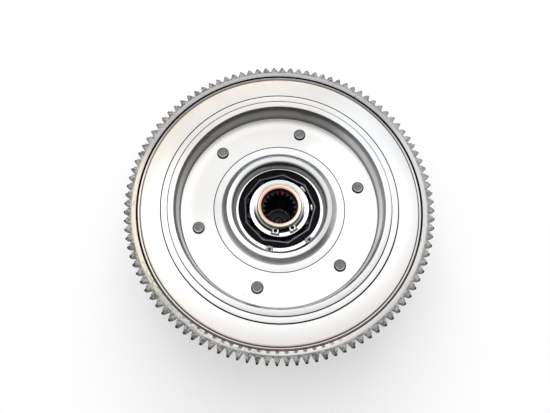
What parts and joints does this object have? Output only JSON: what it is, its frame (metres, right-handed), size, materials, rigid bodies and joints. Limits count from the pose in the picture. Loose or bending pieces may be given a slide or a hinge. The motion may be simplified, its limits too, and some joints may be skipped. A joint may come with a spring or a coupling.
{
  "type": "flywheel",
  "caption": "Flywheel disc with a starter ring gear, riveted to a multi-plate clutch drum and turning on a splined hub in a ball bearing.",
  "frame": {"origin": "on the axis, on the ground plane that the clutch drum's fingers stand on", "axes": "+Z along the crank axis, out of the disc's front face; +X and +Y in the plane of the disc"},
  "size_m": [0.2744, 0.2742, 0.08],
  "materials": {
    "gear_steel": "oiled, heat-tinted",
    "ground_steel": "turned and ground, straw heat tint",
    "carrier_steel": "satin turned",
    "rivet_steel": "dull, pressed",
    "bearing_steel": "ground, oiled",
    "cage_plastic": "moulded, black, wet with oil",
    "spring_steel": "phosphated spring steel",
    "hub_steel": "machined, copper-coloured heat tint",
    "drum_aluminium": "die cast and machined",
    "sprocket_steel": "oiled",
    "friction_lining": "pressed friction lining",
    "plate_steel": "tumbled steel",
    "fastener_steel": "zinc plated"
  },
  "bodies": {
    "drum": {"starter_ring_gear": "gear_steel", "flywheel_disc": "ground_steel", "bearing_carrier": "carrier_steel", "rivet_1": "rivet_steel", "rivet_2": "rivet_steel", "rivet_3": "rivet_steel", "rivet_4": "rivet_steel", "rivet_5": "rivet_steel", "rivet_6": "rivet_steel", "clutch_drum": "drum_aluminium", "primary_sprocket": "sprocket_steel", "bearing_outer_race": "bearing_steel", "bore_circlip": "spring_steel", "friction_plate_1": "friction_lining", "friction_plate_2": "friction_lining", "friction_plate_3": "friction_lining", "friction_plate_4": "friction_lining", "friction_plate_5": "friction_lining"},
    "hub": {"splined_hub": "hub_steel", "bearing_inner_race": "bearing_steel", "shaft_circlip": "spring_steel", "steel_plate_1": "plate_steel", "steel_plate_2": "plate_steel", "steel_plate_3": "plate_steel", "steel_plate_4": "plate_steel", "spring_retaining_ring": "spring_steel"},
    "cage": {"bearing_cage": "cage_plastic", "ball_1": "bearing_steel", "ball_2": "bearing_steel", "ball_3": "bearing_steel", "ball_4": "bearing_steel", "ball_5": "bearing_steel", "ball_6": "bearing_steel", "ball_7": "bearing_steel", "ball_8": "bearing_steel", "ball_9": "bearing_steel"},
    "release": {"pressure_plate": "drum_aluminium", "diaphragm_spring": "spring_steel", "release_plate": "plate_steel", "release_plate_circlip": "spring_steel", "adjuster_screw": "fastener_steel", "adjuster_nut": "fastener_steel"}
  },
  "joints": [
    {"name": "hub_spin", "type": "hinge", "parent": "drum", "child": "hub", "pos_m": [0, 0, 0.0513], "axis": [0, 0, 1], "continuous": true},
    {"name": "cage_spin", "type": "hinge", "parent": "drum", "child": "cage", "pos_m": [0, 0, 0.0513], "axis": [0, 0, 1], "continuous": true},
    {"name": "pressure_plate_lift", "type": "slide", "parent": "hub", "child": "release", "axis": [0, 0, -1], "range_m": [0, 0.0018], "stiffness_N_per_m": 8000, "springref_m": -0.003, "deforming": ["diaphragm_spring"]}
  ],
  "couplings": [
    {"joint": "cage_spin", "follows": "hub_spin", "ratio": 0.4023}
  ]
}
